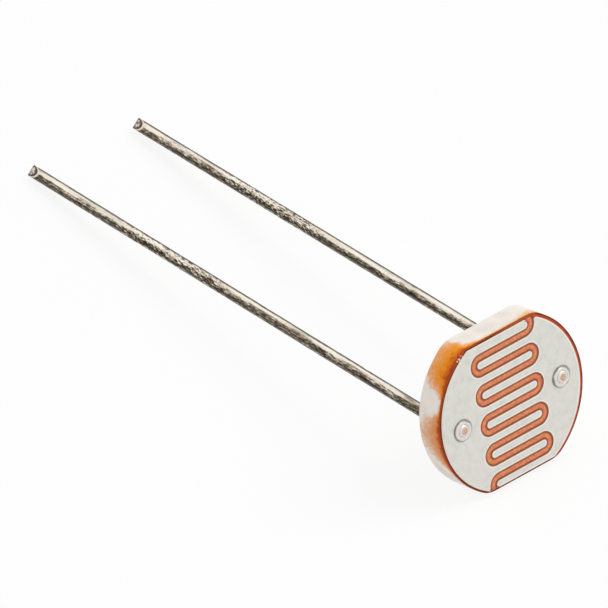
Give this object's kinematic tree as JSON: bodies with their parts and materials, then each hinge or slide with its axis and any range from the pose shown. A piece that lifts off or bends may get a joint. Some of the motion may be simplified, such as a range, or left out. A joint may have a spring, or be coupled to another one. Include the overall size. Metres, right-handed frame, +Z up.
{
  "type": "photoresistor",
  "caption": "Bare ceramic photoresistor: a disc with flats, comb electrodes on an orange light-sensitive film and long tinned wire leads. Its resistance falls in light.",
  "frame": {"origin": "middle of the underside of the bounding box, on the table that the part lies on", "axes": "+X from the left lead to the right lead as the front face is looked at, +Y from the front face along the leads to their tips, +Z up from the table"},
  "size_m": [0.0082, 0.0276, 0.0063],
  "materials": {
    "ceramic": "matte, stained orange by the film near the front edge",
    "sensing_film": "satin, sintered",
    "electrode": "matte silver-grey metal layer",
    "tinned_wire": "tinned, scuffed satin",
    "paste": "satin silver paste",
    "clear_resin": "clear gloss"
  },
  "bodies": {
    "root": {"ceramic_disc": "ceramic", "sensing_film": "sensing_film", "electrode_left": "electrode", "electrode_right": "electrode", "lead_left": "tinned_wire", "lead_right": "tinned_wire", "paste_left": "paste", "paste_right": "paste", "clear_coat": "clear_resin"}
  },
  "joints": []
}
